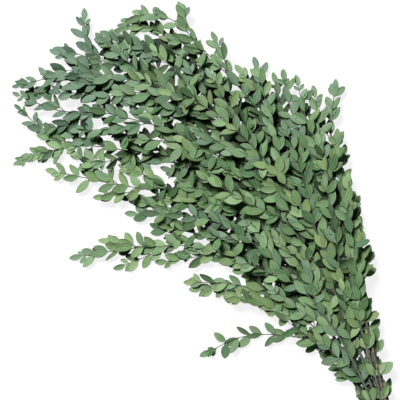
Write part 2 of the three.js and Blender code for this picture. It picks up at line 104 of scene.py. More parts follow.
# Pairs of leaves: how each one is turned and opens, and how far apart the pairs grow along a shoot.
PAIRS = {
    "missing": 0.06,
    "turn_spread": 0.6,
    "flattened": 0.5,
    "open": (0.3, 1.05),
    "habit": (0.65, 1.2),
    "open_at_tip": 0.8,
    "open_within": 40.0,
    "step": (15.0, 20.0),
    "sparse_below": 215.0,
    "sparse": 2.1,
    "first_on_twig": 10.0,
    "bare_for": 84.0,
    "last_from_tip": 4.0,
}
# The shoots that reach furthest to -X end in young growth, and the others in leaves of nearly full size.
YOUNG_BEYOND = -500.0
TIPS = {
    "young": dict(smallest=0.55, grow_within=60.0, closest=0.5, length=14.0, width=6.0),
    "grown": dict(smallest=0.8, grow_within=30.0, closest=0.75, length=20.0, width=8.6),
}
# The single leaf at the very tip of a shoot.
TIP_LEAF = {"inset": 0.5, "wander": 0.3}
# One leaf: its length, its width as a share of that, how it faces, how near it comes to the surface, and
# between which shares of its length it is broad.
LEAF = {
    "length": (22.0, 29.0),
    "width": (0.41, 0.52),
    "slimmer_high_up": 0.1,
    "face_inwards": 0.35,
    "roll": 0.5,
    "wander": 0.6,
    "wander_up": 0.3,
    "lowest": 0.45,
    "broad": (0.32, 0.73),
}
# How far a leaf of a pair swings and tilts away from where its place in the pair would hold it.
STIR = {"swing": 0.35, "tilt": 0.25}
# A small pair just below the last leaf of each shoot.
BUD = {"from_tip": 5.0, "open": (0.35, 0.9), "size": (0.55, 0.8), "width": 0.45}
# Leaves inside the bunch that have another one crossing them.
CROSSED_SHARE = 0.5
# Leaves that lie forward along the top of their shoot, and hide most of its wood from above.
COVER = {
    "share": 0.5,
    "share_low_down": 0.3,
    "share_at_left": 0.15,
    "size": 0.85,
    "swing": (0.1, 0.6),
    "rise": (0.04, 0.16),
    "above": 0.6,
    "wander": 0.35,
}
# What is added to a stem's seed for its leaves, for those that cover its shoots, and for their colours.
LEAF_SEED = 100
COVER_SEED = 300
LOOK_SEED = 500

# Wood: the stems taper to a fine tip, and each node where a pair of leaves grows is a little thicker.
# The rim is the bark round a cut end, and the finer the wood, the fewer sides it needs.
WOOD = {
    "rim": 0.3,
    "stem_roundness": 3,
    "twig_roundness": 1,
    "smooth_below": 50.0,
    "stem_tip": 0.55,
    "twig_root_share": 0.6,
    "twig_root_most": 0.95,
    "twig_tip": 0.48,
    "taper": 1.9,
    "step": 7.0,
    "node_reach": 1.3,
    "node_swell": 1.28,
}

# Leaf tints, as shares, and the heights and sides where they change. The far tips are darker and cooler, the
# top is cooler, the crown is lighter, the shoots at the left are painted lighter, as painted light that lifts
# the shade of the stems above them, and the leaves low down are warmer. The leaves of one shoot share a tint.
TINT = {
    "tone": (0.05, 0.95),
    "warm": (-0.6, 0.45),
    "cool": (-0.7, 0.3),
    "shoot_tone": (-0.3, 0.15),
    "shoot_warm": (-0.3, 0.3),
    "shoot_cool": (-0.35, 0.4),
    "far_tips": (330.0, 450.0),
    "upper": (400.0, 480.0),
    "top": (380.0, 560.0),
    "crown": (490.0, 580.0),
    "left": (330.0, 400.0),
    "low_down": (200.0, 330.0),
    "far_darker": 0.52,
    "far_cooler": 0.75,
    "top_cooler": 0.65,
    "crown_lighter": 0.75,
    # Painted light on the shoots at the left, lifting the shade that the stems above cast there.
    "left_painted_light": 0.6,
    "low_warmer": 0.25,
    "worn_share": 0.08,
    "worn": (0.3, 1.0),
    "fresh": (0.0, 0.15),
}
# How deep in the bunch a leaf is: by how many others lie above it, and none at the bunch's edge, where the
# leaves around it all lie to one side. The deeper a leaf lies, the darker it is painted, as painted shade.
DEPTH = {
    "beside": 10.0,
    "higher": 3.0,
    "shaded_from": 0.5,
    "deepest_at": 2.4,
    "around": 30.0,
    "at_the_edge": (5.0, 10.0),
}

# The elastic is one round strand, wound in turns that lie side by side.
STRAND = {
    "turns": 5,
    "radius": 0.65,
    "pitch": 1.36,
    "points": 64,
    "outline": 240,
    "roundness": 2,
    "crosses": (0.4, 0.6),
}

# Each stem: its row and place in the sheaf, its length below the band, its radius, how far above the band
# its first twig is, how long its twigs are, its seed, its route, and its twigs that are routed one by one.
# One stem also stays bare for longer above the band than the others, one is cooler in colour, and the two
# old ones at the right have patchy bark and stay thick for longer.
STEMS = [
    dict(
        name="leafy_stem_a", row=0, place=-1, butt=62, radius=2.3,
        leafy_from=85, twig_reach=0, seed=3511,
        route=[
            (-36, 72, 13), (-72, 125, 15), (-118, 160, 13), (-175, 168, 10), (-218, 162, 7), (-252, 145, 4),
        ],
    ),
    dict(
        name="leafy_stem_b", row=2, place=-1, butt=55, radius=2.2,
        leafy_from=120, twig_reach=80, seed=218,
        route=[(-43, 85, 33), (-92, 160, 36), (-150, 212, 30), (-215, 238, 20), (-273, 241, 9)],
    ),
    dict(
        name="leafy_stem_c", row=1, place=-1.5, butt=78, radius=2.2,
        leafy_from=130, twig_reach=90, seed=3814,
        route=[
            (-43, 85, 21), (-92, 180, 24), (-170, 255, 22), (-255, 290, 16), (-345, 291, 12), (-434, 278, 7),
        ],
        long_twigs=[[(-205, 276, 20), (-255, 303, 18), (-310, 318, 14)]],
    ),
    dict(
        name="leafy_stem_d", row=1, place=-0.5, butt=58, radius=2.6,
        leafy_from=150, twig_reach=110, seed=5615,
        route=[
            (-34, 95, 24), (-88, 200, 28), (-165, 300, 30), (-250, 368, 26), (-355, 374, 20), (-468, 396, 9),
        ],
        long_twigs=[[(-215, 346, 28), (-270, 356, 24), (-325, 354, 16)]],
    ),
    dict(
        name="leafy_stem_e", row=0, place=0, butt=74, radius=2.3,
        leafy_from=170, twig_reach=120, seed=1912,
        route=[
            (-27, 100, 14), (-78, 210, 15), (-160, 325, 16), (-265, 405, 16), (-380, 428, 14),
            (-470, 442, 11), (-520, 483, 8),
        ],
        long_twigs=[[(-430, 435, 12), (-470, 428, 10), (-500, 420, 7), (-520, 412, 5)]],
    ),
    dict(
        name="leafy_stem_f", row=2, place=0, butt=72, radius=2.3,
        leafy_from=170, twig_reach=120, seed=4119,
        route=[
            (-31, 100, 37), (-80, 225, 44), (-165, 345, 46), (-270, 435, 42), (-385, 475, 34),
            (-465, 482, 22), (-521, 503, 12),
        ],
    ),
    dict(
        name="leafy_stem_g", row=3, place=0.5, butt=76, radius=2.3,
        leafy_from=190, twig_reach=120, seed=2322,
        route=[
            (-24, 105, 48), (-68, 235, 58), (-145, 370, 62), (-245, 475, 58), (-355, 522, 46),
            (-450, 532, 32), (-520, 518, 16),
        ],
        long_twigs=[[(-270, 490, 56), (-330, 503, 50), (-400, 502, 38), (-462, 508, 24)]],
    ),
    dict(
        name="leafy_stem_h", row=1, place=0.5, butt=70, radius=2.3,
        leafy_from=180, twig_reach=120, seed=1016,
        route=[
            (-24, 100, 26), (-70, 230, 30), (-145, 365, 32), (-240, 462, 30), (-345, 530, 24),
            (-425, 557, 18), (-458, 567, 10),
        ],
        long_twigs=[
            [(-400, 550, 20), (-421, 568, 20), (-430, 590, 16), (-431, 608, 12)],
            [(-320, 516, 26), (-362, 552, 26), (-400, 574, 20)],
        ],
    ),
    dict(
        name="leafy_stem_i", row=0, place=1, butt=66, radius=2.3,
        leafy_from=180, twig_reach=115, seed=4413,
        route=[
            (-15, 100, 13), (-58, 220, 15), (-120, 350, 16), (-200, 465, 16), (-270, 540, 13),
            (-335, 568, 10), (-392, 588, 7),
        ],
        long_twigs=[[(-255, 525, 14), (-295, 570, 12), (-330, 596, 9), (-362, 600, 7)]],
    ),
    dict(
        name="leafy_stem_j", row=2, place=1, butt=80, radius=2.3,
        leafy_from=240, twig_reach=72, seed=8320,
        route=[
            (-21, 104, 38), (-54, 240, 44), (-118, 380, 46), (-195, 490, 42),
            (-255, 557, 34), (-302, 605, 24), (-340, 618, 16), (-376, 600, 8),
        ],
    ),
    dict(
        name="leafy_stem_k", row=1, place=1.5, butt=64, radius=2.2,
        leafy_from=190, twig_reach=100, seed=3617,
        route=[
            (-16, 100, 24), (-49, 220, 28), (-92, 340, 30), (-140, 440, 26), (-172, 500, 20), (-187, 540, 14),
        ],
    ),
    dict(
        name="leafy_stem_l", row=3, place=1.5, butt=68, radius=2.2, old=True, taper=0.9,
        leafy_from=200, twig_reach=80, seed=623,
        route=[(-17, 100, 47), (-47, 220, 56), (-74, 330, 54), (-98, 420, 46), (-108, 498, 32)],
        long_twigs=[
            [(-92, 390, 48), (-120, 430, 44), (-140, 475, 38), (-150, 522, 28)],
            [(-95, 408, 47), (-113, 448, 46), (-125, 484, 40), (-131, 514, 30)],
        ],
    ),
    dict(
        name="leafy_stem_m", row=2, place=2.2, butt=60, radius=3.2, bare_for=148, old=True, taper=0.9,
        leafy_from=215, twig_reach=40, seed=4221,
        route=[
            (-9, 82, 33), (-31, 165, 37), (-54, 280, 38), (-70, 380, 32), (-86, 450, 24), (-80, 508, 16),
        ],
    ),
    dict(
        name="leafy_stem_n", row=3, place=-0.5, butt=68, radius=2.1,
        leafy_from=120, twig_reach=80, cooler=0.4, seed=4024,
        route=[
            (-38, 95, 46), (-88, 185, 50), (-160, 268, 46), (-235, 322, 36), (-300, 336, 24), (-356, 338, 10),
        ],
    ),
]

# A leaf as modelled: how far along it each row of points is, and its half width there, as shares.
LEAF_ROWS = [
    (0.0, 0.08), (0.08, 0.10), (0.17, 0.42), (0.31, 0.79), (0.46, 1.0),
    (0.62, 0.98), (0.78, 0.80), (0.91, 0.48), (1.0, 0.06),
]
# Its size, how far off the middle line a point of its edges is in the square sheet that it is made from, and
# below what angle its faces are shaded as one.
LEAF_MODEL = {"length": 23.0, "width": 10.0, "thickness": 0.45, "off_middle": 0.25, "smooth_below": 55.0}
# How each model leaf lies: arch down at its tip, cup up at its edges, twist and sideways sweep.
LEAF_FORMS = [
    dict(arch=0.05, cup=0.10, twist=0.15, sweep=0.02),
    dict(arch=0.10, cup=0.16, twist=-0.25, sweep=-0.04),
    dict(arch=-0.04, cup=0.12, twist=0.30, sweep=0.05),
    dict(arch=0.14, cup=0.05, twist=-0.10, sweep=0.03),
    dict(arch=0.02, cup=0.22, twist=0.05, sweep=-0.05),
    dict(arch=0.18, cup=0.14, twist=0.35, sweep=-0.02),
    dict(arch=0.07, cup=-0.06, twist=-0.35, sweep=0.04),
    dict(arch=-0.06, cup=0.18, twist=0.20, sweep=0.0),
]
# Below this height, what comes near the surface presses softly against it.
PRESSED_BELOW = 1.4

# In the surfaces below, a noise is given by its scale, detail and roughness, a ramp by where it starts and
# ends and from what to what, and a relief by its strength and its depth in metres.

# Marks on the flat sheet of a leaf: how far from its middle line each one is, and how the side veins slant
# and follow each other.
MARKS = {
    "midrib": (0.015, 0.06, 1.0, 0.0),
    "vein_slant": 0.32,
    "vein_turns": 52.0,
    "vein_crest": (0.72, 1.0),
    "vein_ends": (0.44, 0.3),
    "margin": (0.24, 0.43),
    # The rim carries the leaf's own darker edge and a painted contact shadow.
    "rim": (0.44, 0.47),
}
# The skin of a leaf: its mottling, what is paler or darker, where it is worn, and what stands out or is sunk.
SKIN = {
    "mottle": (420.0, 3.0, 0.6),
    "mottle_deepens": (0.35, 0.75, 0.0, 0.22),
    "blotch": (90.0, 2.0, 0.5),
    "blotch_lightens": (0.3, 0.7, -0.12, 0.12),
    "pale_veins": 0.35,
    # Pale margin: partly the leaf's own paler edge, partly a painted highlight where its curved edge catches
    # light.
    "pale_margin_and_highlight": 0.7,
    # Dark rim: partly the leaf's own darker edge, partly painted contact shadow where leaves lie on each
    # other.
    "dark_rim_and_contact_shade": 0.7,
    "worn_tip": (0.72, 1.0),
    "worn_edge": 0.6,
    "wear_breaks": (0.3, 0.6),
    "speck": (900.0, 1.0),
    "speck_is": (0.7, 0.78, 0.0, 0.5),
    # Painted shade: how far the leaves deep in the bunch are darkened towards the painted shade colour.
    "painted_shade_inside": 0.92,
    "sunk_midrib": -0.8,
    "sunk_veins": 0.35,
    "grain": 0.3,
    "relief_depth": 0.0004,
    "rough_over": (0.3, 0.7),
}
# The two sides of a leaf, with their colours as the light shows them.
LEAF_SIDES = [
    dict(
        name="eucalyptus_leaf_upper",
        gloss=0.24,
        rough=(0.5, 0.62),
        relief=0.5,
        vein_strength=0.35,
        colours=dict(
            Deep=(71, 116, 71), Light=(154, 190, 136), Warm=(161, 182, 121), Cool=(122, 152, 131),
            # PaintedShade is a painted shade colour, for the leaves deep in the bunch and for the leaf rims.
            Rust=(120, 84, 50), Vein=(176, 200, 152), PaintedShade=(10, 38, 13),
        ),
    ),
    dict(
        name="eucalyptus_leaf_under",
        gloss=0.14,
        rough=(0.7, 0.8),
        relief=0.7,
        vein_strength=0.5,
        colours=dict(
            Deep=(104, 132, 108), Light=(146, 168, 144), Warm=(154, 166, 132), Cool=(130, 154, 143),
            # PaintedShade is a painted shade colour, for the leaves deep in the bunch and for the leaf rims.
            Rust=(128, 98, 66), Vein=(166, 184, 150), PaintedShade=(10, 38, 13),
        ),
    ),
]
# Bark in two tones by patches, greener and smoother away from the cut ends, with dark flakes and cracks.
BARK = {
    "gloss": 0.3,
    "green_from": (0.08, 0.5),
    "patches": (260.0, 4.0, 0.6),
    "streaks": (200.0, 2.0),
    "young": ((76, 72, 58), (78, 92, 66)),
    "flakes": (700.0, 2.0),
    "flake_is": (0.6, 0.7, 0.0, 0.5),
    "flake": (62, 50, 42),
    "rough": (0.0, 1.0, 0.85, 0.6),
    "cracks": (800.0, 4.0, 0.65),
    "relief": (0.6, 0.0005),
}
GREY_BARK = dict(name="eucalyptus_bark", tones=((84, 90, 82), (132, 138, 126)), spread=(0.1, 0.9))
OLD_BARK = dict(name="eucalyptus_bark_old", tones=((104, 102, 98), (184, 154, 128)), spread=(0.5, 0.66))
CUT_WOOD = {
    "rough": 0.8,
    "grain": (1500.0, 3.0, 0.7),
    "tones": ((196, 172, 128), (150, 118, 78)),
    "relief": (0.5, 0.0003),
}
RUBBER = {
    "gloss": 0.4,
    "clouds": (120.0, 3.0),
    "tones": ((176, 138, 88), (208, 174, 122)),
    "rough": (0.3, 0.7, 0.5, 0.65),
    "pores": (1800.0, 2.0),
    "pore_is": (0.55, 0.75, 0.0, 0.4),
    "pore": (226, 206, 170),
    "relief": (0.25, 0.0002),
}

# How a screen's values follow linear light.
SCREEN = {"whole": 255.0, "toe_ends": 0.04045, "toe": 12.92, "offset": 0.055, "power": 2.4}
FLOAT = "NodeSocketFloat"
COLOUR = "NodeSocketColor"
WHITE = (1, 1, 1, 1)


def unit(vector):
    return vector / np.linalg.norm(vector)


CUT_WARDS = unit(np.array([SHEAF_LEAN, -1.0, 0.0]))
ACROSS = unit(np.array([1.0, SHEAF_LEAN, 0.0]))


class Draws:
    """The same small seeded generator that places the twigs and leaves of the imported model."""

    RANGE = 2**32
    TIMES, PLUS = 1664525, 1013904223
    SEED_TIMES, SEED_PLUS = 7919, 12345
    LEFT_OUT_AT_FIRST = 3

    def __init__(self, seed):
        self.state = (seed * self.SEED_TIMES + self.SEED_PLUS) % self.RANGE
        for _ in range(self.LEFT_OUT_AT_FIRST):
            self.unit()

    def unit(self):
        self.state = (self.state * self.TIMES + self.PLUS) % self.RANGE
        return self.state / self.RANGE

    def between(self, span):
        low, high = span
        return low + (high - low) * self.unit()

    def side(self):
        return 1 if self.unit() < 0.5 else -1

    def level_stray(self):
        """A level offset of up to one each way."""
        return np.array([self.between((-1, 1)), self.between((-1, 1)), 0.0])


class Line:
    """A line of points that can be walked by its length."""

    def __init__(self, points):
        self.points = np.array(points, float)
        steps = np.linalg.norm(np.diff(self.points, axis=0), axis=1)
        self.lengths = np.concatenate([[0.0], np.cumsum(steps)])
        self.length = self.lengths[-1]

    def place(self, at):
        last = len(self.points) - 2
        i = min(max(int(np.searchsorted(self.lengths, at, side="right")) - 1, 0), last)
        share = (at - self.lengths[i]) / (self.lengths[i + 1] - self.lengths[i])
        step = self.points[i + 1] - self.points[i]
        return self.points[i] + step * share, unit(step)


def rounded(value):
    return math.floor(value + 0.5)


def smooth_line(points):
    """A Catmull-Rom curve through the points."""
    points = np.array(points, float)
    before = 2 * points[0] - points[1]
    after = 2 * points[-1] - points[-2]
    padded = np.vstack([before, points, after])
    line = []
    for p0, p1, p2, p3 in zip(padded, padded[1:], padded[2:], padded[3:]):
        steps = max(2, rounded(np.linalg.norm(p2 - p1) / CURVE_STEP))
        start, end = (p2 - p0) / 2, (p3 - p1) / 2
        for k in range(steps):
            t = k / steps
            curved = (2 * p1 - 2 * p2 + start + end) * t**3 + (3 * p2 - 3 * p1 - 2 * start - end) * t**2
            line.append(curved + start * t + p1)
    line.append(points[-1])
    return Line(line)


def sides_of(along):
    """The level direction to the left of this one, and the one straight over it."""
    left = unit(np.cross(UP, along))
    return left, np.cross(along, left)


def twig_line(start, along, sideways, angle, length):
    """A twig that leaves its stem at an angle, bends back along it and sinks a little."""
    heading = unit(along * math.cos(angle) + sideways * math.sin(angle))
    points = [start]
    steps = max(3, rounded(length / TWIG["walk"]))
    for _ in range(steps):
        heading = unit(heading + along * TWIG["gather"] - UP * TWIG["droop"])
        after = points[-1] + heading * (length / steps)
        after[2] = max(after[2], TWIG["lowest"])
        points.append(after)
    return Line(points)


def even_places(start, end, step):
    """Places from start to end, evenly spread and about a step apart."""
    count = max(1, rounded((end - start) / step))
    return [start + (end - start) * i / count for i in range(count + 1)]


def felt_along(line):
    """Points close together along a line, and the corners of the room that its wood needs."""
    points = np.array([line.place(at)[0] for at in even_places(0, line.length, TWIG["feel_step"])])
    margin = TWIG["clear_of_other_wood"]
    return points, points.min(0) - margin, points.max(0) + margin


def meets_wood(points, wood):
    """True if a point comes too near other wood."""
    for theirs, low, high in wood:
        inside = points[((points >= low) & (points <= high)).all(1)]
        if len(inside):
            apart = np.linalg.norm(inside[:, None] - theirs[None], axis=2)
            if apart.min() < TWIG["clear_of_other_wood"]:
                return True
    return False


def tie_of(stem):
    """The middle of a stem where the band ties it."""
    return ACROSS * stem["place"] * STEM_PITCH + UP * (FIRST_ROW + stem["row"] * ROW_RISE)


def main_lines():
    """The main line of each stem, from its cut end through the band to its tip, with its long twigs."""
    for stem in STEMS:
        sideways = stem["place"] * STEM_PITCH
        tie = tie_of(stem)
        cut_end = tie + CUT_WARDS * stem["butt"] + ACROSS * sideways * SPLAY_AT_CUT_ENDS
        clear = tie - CUT_WARDS * BAND["straight"]
        curve = smooth_line([clear + CUT_WARDS * LEAD, clear, *stem["route"]])
        stem["line"] = Line([cut_end, *curve.points[curve.lengths > LEAD - 1]])
        stem["leafy_at"] = stem["butt"] + stem["leafy_from"]
        stem["twigs"] = []
        for first, *rest in stem.get("long_twigs", []):
            nearest = int(np.argmin(np.linalg.norm(stem["line"].points - np.array(first), axis=1)))
            line = smooth_line([stem["line"].points[nearest], *rest])
            stem["twigs"].append((stem["line"].lengths[nearest], line))


def add_twigs():
    """Adds each stem's own twigs, left and right in turn, lifted or lowered where another stem is near."""
    wood = {
        stem["name"]: [felt_along(stem["line"]), *[felt_along(line) for _, line in stem["twigs"]]]
        for stem in STEMS
    }
    for stem in STEMS:
        draws = Draws(stem["seed"])
        others = [felt for name, felts in wood.items() if name != stem["name"] for felt in felts]
        side = draws.side()
        at, length = stem["leafy_at"], stem["line"].length
        while stem["twig_reach"] and at < length - TWIG["bare_tip"]:
            share = (at - stem["leafy_at"]) / (length - stem["leafy_at"])
            point, along = stem["line"].place(at)
            left, over = sides_of(along)
            reach = stem["twig_reach"] * (TWIG["reach_at_first"] - TWIG["reach_lost"] * share)
            reach *= draws.between(TWIG["reach_spread"])
            angle = draws.between(TWIG["angle"])
            lift = draws.between((-TWIG["lift"], TWIG["lift"]))
            for attempt in range(TWIG["attempts"]):
                tried = lift + ((attempt % 2) * 2 - 1) * TWIG["lift_step"] * attempt
                sideways = unit(left * side * math.cos(tried) + over * math.sin(tried))
                line = twig_line(point, along, sideways, angle, reach)
                felt = felt_along(line)
                if meets_wood(felt[0][TWIG["felt_at_root"] :], others):
                    continue
                stem["twigs"].append((at, line))
                wood[stem["name"]].append(felt)
                break
            side = -side
            at += TWIG["spacing"] * draws.between(TWIG["spacing_spread"])


def share_between(value, start, end):
    """How far a value is on its way from start to end, from 0 to 1."""
    return min(1.0, max(0.0, (value - start) / (end - start)))


def at_the_left(point):
    """How far a place is out among the shoots that lie one by one below the far tips, from 0 to 1."""
    return share_between(-point[0], *TINT["left"]) * (1 - share_between(point[1], *TINT["upper"]))


def settled_leaf(base, heading, facing, length, width):
    """A leaf that is turned just enough for its tip and its edges to clear the surface."""
    along = unit(heading)
    lowest_slope = max(-1.0, min(1.0, (LEAF["lowest"] - base[2]) / length))
    if along[2] < lowest_slope:
        level = math.sqrt(1 - lowest_slope**2) / math.hypot(along[0], along[1])
        along = np.array([along[0] * level, along[1] * level, lowest_slope])
    normal = unit(facing - along * facing.dot(along))
    side = np.cross(normal, along)
    lower_end = LEAF["broad"][1 if along[2] < 0 else 0]
    room = max(0.0, base[2] + along[2] * length * lower_end - LEAF["lowest"]) / (width / 2)
    if abs(side[2]) > room:
        level = unit(np.cross(UP, along))
        level = level * np.sign(level.dot(side))
        side = level + side * room
        side = unit(side - along * side.dot(along))
        normal = np.cross(along, side)
    return dict(base=base, along=along, normal=normal, side=side, length=length, width=width)


def leaf_size(point, size, draws):
    """Length and width of a leaf that grows at a place: those high up in the bunch are slimmer."""
    length = draws.between(LEAF["length"]) * size
    slimmer = LEAF["slimmer_high_up"] * share_between(point[1], *TINT["upper"])
    return length, length * draws.between(LEAF["width"]) * (1 - slimmer)


def covering_leaf(point, along, roll, size, draws):
    """A leaf that leans forward along the top of its shoot, a little to one side."""
    left, over = sides_of(along)
    side = draws.side()
    swing = draws.between(COVER["swing"]) * side
    heading = along * math.cos(swing) + left * math.sin(swing) + over * draws.between(COVER["rise"])
    facing = unit(UP + left * roll + draws.level_stray() * COVER["wander"])
    length, width = leaf_size(point, size * COVER["size"], draws)
    return settled_leaf(point + over * COVER["above"], heading, facing, length, width)


def pair_of_leaves(point, along, turn, opening, size, roll, draws, cover_draws):
    """The two leaves of one pair, across from each other, unless one is missing."""
    leaves = []
    leftwards, over = sides_of(along)
    for half in (1, -1):
        missing = draws.unit() < PAIRS["missing"]
        around = turn + draws.between((-PAIRS["turn_spread"], PAIRS["turn_spread"]))
        opened = draws.between(PAIRS["open"]) * opening
        length, width = leaf_size(point, size, draws)
        wander = np.array([draws.between((-1, 1)) for _ in range(3)])
        if missing:
            continue
        rise = math.sin(around) * half * PAIRS["flattened"]
        out = leftwards * math.cos(around) * half + over * rise
        heading = along * math.cos(opened) + out * math.sin(opened)
        inner = unit(along * math.sin(opened) - out * math.cos(opened))
        stray = wander * (1, 1, LEAF["wander_up"])
        facing = UP + inner * LEAF["face_inwards"] + leftwards * roll + stray * LEAF["wander"]
        swing = cover_draws.between((-STIR["swing"], STIR["swing"]))
        heading = heading * math.cos(swing) + np.cross(UP, heading) * math.sin(swing)
        facing = facing + cover_draws.level_stray() * STIR["tilt"]
        leaves.append(settled_leaf(point, heading, unit(facing), length, width))
    return leaves


def covered_share(point):
    """How many of the pairs near a place have a leaf that covers their shoot."""
    low_down = 1 - share_between(point[1], *TINT["low_down"])
    share = COVER["share"] + (COVER["share_low_down"] - COVER["share"]) * low_down
    return share + (COVER["share_at_left"] - share) * at_the_left(point)


def bud_leaves(line, length, draws):
    """The small pair of leaves that hardly open yet, just below a shoot's tip."""
    leaves = []
    point, along = line.place(line.length - BUD["from_tip"])
    leftwards, _ = sides_of(along)
    for half in (1, -1):
        opened = draws.between(BUD["open"])
        heading = along * math.cos(opened) + leftwards * math.sin(opened) * half
        size = length * draws.between(BUD["size"])
        leaves.append(settled_leaf(point, heading, UP, size, size * BUD["width"]))
    return leaves


def leaves_of(line, first_pair, sparse_below, draws, cover_draws):
    """Every leaf of one shoot, and where along it the pairs grow."""
    leaves, nodes = [], []
    end = TIPS["young" if line.points[-1][0] < YOUNG_BEYOND else "grown"]
    turn = draws.unit() * math.pi
    habit = draws.between(PAIRS["habit"])
    roll = draws.between((-LEAF["roll"], LEAF["roll"]))
    at = first_pair
    while at < line.length - PAIRS["last_from_tip"]:
        left = line.length - at
        growth = min(1.0, left / end["grow_within"])
        opening = PAIRS["open_at_tip"] + (1 - PAIRS["open_at_tip"]) * min(1.0, left / PAIRS["open_within"])
        size = end["smallest"] + (1 - end["smallest"]) * growth
        point, along = line.place(at)
        nodes.append(at)
        leaves += pair_of_leaves(point, along, turn, opening * habit, size, roll, draws, cover_draws)
        if cover_draws.unit() < covered_share(point):
            leaves.append(covering_leaf(point, along, roll, size, cover_draws))
        turn += math.pi / 2
        sparse = PAIRS["sparse"] if sparse_below > at else 1.0
        at += draws.between(PAIRS["step"]) * (end["closest"] + (1 - end["closest"]) * growth) * sparse
    leaves += bud_leaves(line, end["length"], cover_draws)
    point, along = line.place(line.length - TIP_LEAF["inset"])
    facing = unit(UP + draws.level_stray() * TIP_LEAF["wander"])
    leaves.append(settled_leaf(point, along, facing, end["length"], end["width"]))
    return leaves, nodes


def wood_radius(shoot, at):
    """Full as far as the band, and tapered from there to the tip."""
    root, tip = shoot["radii"]
    left = (shoot["line"].length - at) / (shoot["line"].length - shoot["full_to"])
    return tip + (root - tip) * min(1.0, left) ** shoot["taper"]


def shoots_of(stem):
    """A stem's shoots with their leaves: the main one, bare near the band, and its twigs."""
    draws, cover_draws = Draws(stem["seed"] + LEAF_SEED), Draws(stem["seed"] + COVER_SEED)
    first = stem["butt"] + stem.get("bare_for", PAIRS["bare_for"])
    sparse_below = stem["butt"] + PAIRS["sparse_below"]
    main = dict(line=stem["line"], radii=(stem["radius"], WOOD["stem_tip"]), full_to=stem["butt"])
    main["taper"] = stem.get("taper", WOOD["taper"])
    main["leaves"], main["nodes"] = leaves_of(stem["line"], first, sparse_below, draws, cover_draws)
    shoots = [main]
    for at, line in stem["twigs"]:
        root = min(WOOD["twig_root_most"], WOOD["twig_root_share"] * wood_radius(main, at))
        root = max(WOOD["stem_tip"], root)
        twig = dict(line=line, radii=(root, WOOD["twig_tip"]), full_to=0, taper=WOOD["taper"])
        twig["leaves"], twig["nodes"] = leaves_of(line, PAIRS["first_on_twig"], 0, draws, cover_draws)
        shoots.append(twig)
    return shoots


def only_select(*pieces):
    bpy.ops.object.select_all(action="DESELECT")
    for piece in pieces:
        piece.select_set(True)
    bpy.context.view_layer.objects.active = pieces[0]


def select_points(piece, chosen):
    """In edit mode, selects the points with these numbers and nothing else."""
    shape = bmesh.from_edit_mesh(piece.data)
    shape.verts.ensure_lookup_table()
    bpy.ops.mesh.select_all(action="DESELECT")
    for i in chosen:
        shape.verts[i].select_set(True)
    bmesh.update_edit_mesh(piece.data)


def places_in(mesh):
    places = np.empty(len(mesh.vertices) * 3)
    mesh.vertices.foreach_get("co", places)
    return places.reshape(-1, 3)


def camera_over_the_bunch():
    """Looks straight down at the bunch from far above."""
    x, y = VIEW_CENTRE
    above = (x * MM, y * MM, (CAMERA_HEIGHT + FOCUS_HEIGHT) * MM)
    bpy.ops.object.camera_add(location=above, rotation=(0, 0, 0))
    camera = bpy.context.object
    camera.data.lens = camera.data.sensor_width * CAMERA_HEIGHT / VIEW_WIDTH
    bpy.context.scene.camera = camera


class Nodes:
    """A short way to add shader nodes and to link them."""

    def __init__(self, tree):
        self.tree = tree

    def add(self, kind, inputs=(), **settings):
        node = self.tree.nodes.new(kind)
        for name, value in settings.items():
            setattr(node, name, value)
        for name, value in dict(inputs).items():
            socket = node.inputs[name]
            if isinstance(value, bpy.types.NodeSocket):
                self.link(value, socket)
            else:
                socket.default_value = value
        return node

    def link(self, value, socket):
        self.tree.links.new(value, socket)

    def maths(self, operation, *values, clamp=False):
        inputs = dict(enumerate(values))
        return self.add("ShaderNodeMath", inputs, operation=operation, use_clamp=clamp).outputs[0]

    def times(self, first, second):
        return self.maths("MULTIPLY", first, second)

    def blend(self, factor, first, second):
        inputs = {0: factor, 6: first, 7: second}
        return self.add("ShaderNodeMix", inputs, data_type="RGBA").outputs[2]

    def shade(self, factor, tones):
        """Between two tones, each given as the light shows it."""
        return self.blend(factor, *[rgb(*tone) for tone in tones])

    def ramp(self, value, low, high, to_low=0.0, to_high=1.0):
        inputs = {0: value, 1: low, 2: high, 3: to_low, 4: to_high}
        node = self.add("ShaderNodeMapRange", inputs, interpolation_type="SMOOTHSTEP", clamp=True)
        return node.outputs[0]

    def noise(self, where, scale, detail, roughness=0.5):
        inputs = {"Vector": where, "Scale": scale, "Detail": detail, "Roughness": roughness}
        return self.add("ShaderNodeTexNoise", inputs).outputs[0]

    def bump(self, height, strength, depth):
        inputs = {"Height": height, "Strength": strength, "Distance": depth}
        return self.add("ShaderNodeBump", inputs).outputs[0]

    def attribute(self, name):
        return self.add("ShaderNodeAttribute", attribute_name=name, attribute_type="GEOMETRY").outputs

    def own_place(self):
        """Where a point is on its piece."""
        return self.add("ShaderNodeTexCoord").outputs["Object"]

    def seen_directly(self):
        """1 where the camera itself looks, and 0 for light that only passes on."""
        return self.add("ShaderNodeLightPath").outputs["Is Camera Ray"]


def new_group(name, inputs, outputs):
    """A shader node group with its named sockets, each given with its kind."""
    tree = bpy.data.node_groups.new(name, "ShaderNodeTree")
    for in_out, sockets in (("INPUT", inputs), ("OUTPUT", outputs)):
        for title, kind in sockets.items():
            tree.interface.new_socket(title, in_out=in_out, socket_type=kind)
    nodes = Nodes(tree)
    return nodes, nodes.add("NodeGroupInput").outputs, nodes.add("NodeGroupOutput").inputs


def new_material(name, **surface):
    """A material with its own Principled shader, whose plain values are set on its sockets."""
    material = bpy.data.materials.new(name)
    material.use_nodes = True
    nodes = Nodes(material.node_tree)
    shader = material.node_tree.nodes["Principled BSDF"]
    for title, value in surface.items():
        shader.inputs[title.replace("_", " ")].default_value = value
    return material, nodes, shader.inputs


